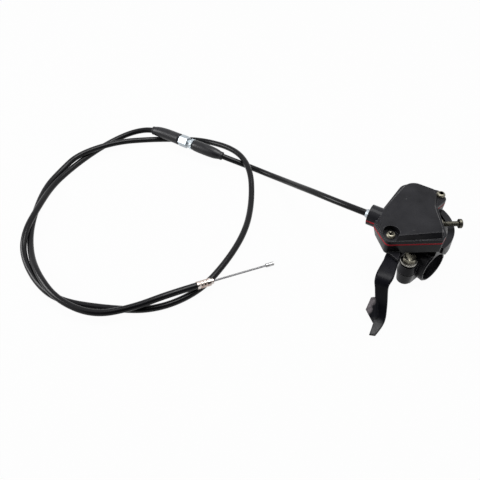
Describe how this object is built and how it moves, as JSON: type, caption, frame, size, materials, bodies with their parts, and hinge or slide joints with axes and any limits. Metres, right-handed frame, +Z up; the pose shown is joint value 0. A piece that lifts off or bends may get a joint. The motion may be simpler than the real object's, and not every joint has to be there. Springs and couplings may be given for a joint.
{
  "type": "thumb throttle lever",
  "caption": "Thumb throttle lever with a black clamp-on housing, red gasket, travel limiter screw and a looped control cable with an inline adjuster.",
  "frame": {"origin": "centre of the bar clamp's bore at its end face on the grip side", "axes": "+X along the handlebar towards the grip, +Y away from the rider, +Z up out of the cover"},
  "size_m": [0.3035, 0.2651, 0.0495],
  "materials": {
    "casting_black": "satin",
    "lever_black": "satin",
    "gasket_red": "matte",
    "zinc_yellow": "satin",
    "zinc_bright": "satin",
    "steel_plain": "satin",
    "casing_black": "glossy",
    "boot_rubber": "matte",
    "bush_plastic": "matte"
  },
  "bodies": {
    "housing": {"housing": "casting_black", "gasket": "gasket_red", "cover": "casting_black", "cover_screw_front": "zinc_yellow", "cover_screw_rear": "zinc_yellow", "clamp_cap": "casting_black", "clamp_bolt_front": "zinc_yellow", "clamp_washer_front": "zinc_bright", "clamp_spring_washer_front": "zinc_bright", "clamp_bolt_rear": "zinc_yellow", "clamp_washer_rear": "zinc_bright", "pivot_bush": "bush_plastic", "inner_wire": "steel_plain", "return_spring": "steel_plain", "limiter_lock_nut": "zinc_yellow", "casing_ferrule": "zinc_bright", "casing_upper": "casing_black", "boot_upper": "boot_rubber", "adjuster_screw": "zinc_bright", "adjuster_lock_nut": "zinc_bright", "boot_lower": "boot_rubber", "casing_lower": "casing_black", "end_ferrule": "zinc_bright"},
    "lever": {"thumb_lever": "lever_black", "pivot_shaft": "steel_plain", "throttle_arm": "zinc_yellow", "arm_clip": "zinc_bright", "arm_nipple": "steel_plain"},
    "limiter": {"limiter_screw": "zinc_yellow"},
    "adjuster": {"adjuster_sleeve": "zinc_bright"},
    "free_wire": {"end_wire": "steel_plain", "end_nipple": "steel_plain"}
  },
  "joints": [
    {"name": "lever_turn", "type": "hinge", "parent": "housing", "child": "lever", "pos_m": [-0.03, 0.008, 0], "axis": [0, 0, 1], "range_deg": [0, 40], "stiffness_Nm_per_rad": 0.25, "springref_deg": -34.38, "deforming": ["return_spring", "inner_wire"]},
    {"name": "free_wire_pull", "type": "slide", "parent": "housing", "child": "free_wire", "axis": [-0.2602, -0.9608, 0.0961], "range_m": [0, 0.0126]},
    {"name": "limiter_turn", "type": "slide", "parent": "housing", "child": "limiter", "axis": [0.6293, 0.7771, 0], "range_m": [0, 0.005]},
    {"name": "adjuster_turn", "type": "hinge", "parent": "housing", "child": "adjuster", "pos_m": [-0.24182, -0.04278, -0.0042], "axis": [-0.9557, -0.2942, 0], "range_deg": [-180, 180]}
  ],
  "couplings": [
    {"joint": "free_wire_pull", "follows": "lever_turn", "m_per_rad": 0.017887}
  ]
}
